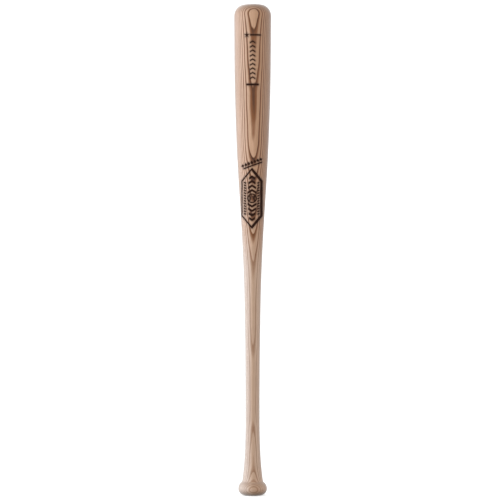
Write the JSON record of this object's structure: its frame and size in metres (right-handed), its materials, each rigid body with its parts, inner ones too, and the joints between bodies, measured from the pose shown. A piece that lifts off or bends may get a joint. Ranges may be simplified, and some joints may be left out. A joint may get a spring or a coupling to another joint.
{
  "type": "baseball bat",
  "caption": "Turned ash wood bat with a cupped barrel end, thin handle and round knob, its figures burned into the face, for hitting a ball",
  "frame": {"origin": "centre of the knob's flat face, at the bottom of the bat's box", "axes": "+Z runs along the bat's axis from the knob to the barrel's end; -Y points out of the face with the burned figures; +X is to the right when that face is looked at with the barrel up"},
  "size_m": [0.0629, 0.063, 0.8382],
  "materials": {
    "ash_wood": "flame tempered, sanded and unvarnished, satin",
    "charred_wood": "burned dark, matte"
  },
  "bodies": {
    "root": {"ash_body": "ash_wood", "centre_mark_frame": "charred_wood", "centre_mark_ball": "charred_wood", "centre_mark_upper_chevrons": "charred_wood", "centre_mark_lower_chevrons": "charred_wood", "centre_mark_left_stitches": "charred_wood", "centre_mark_right_stitches": "charred_wood", "slanted_mark_diamonds": "charred_wood", "slanted_mark_underline": "charred_wood", "end_mark_top_bar": "charred_wood", "end_mark_bottom_bar": "charred_wood", "end_mark_chevrons": "charred_wood", "end_mark_star": "charred_wood"}
  },
  "joints": []
}
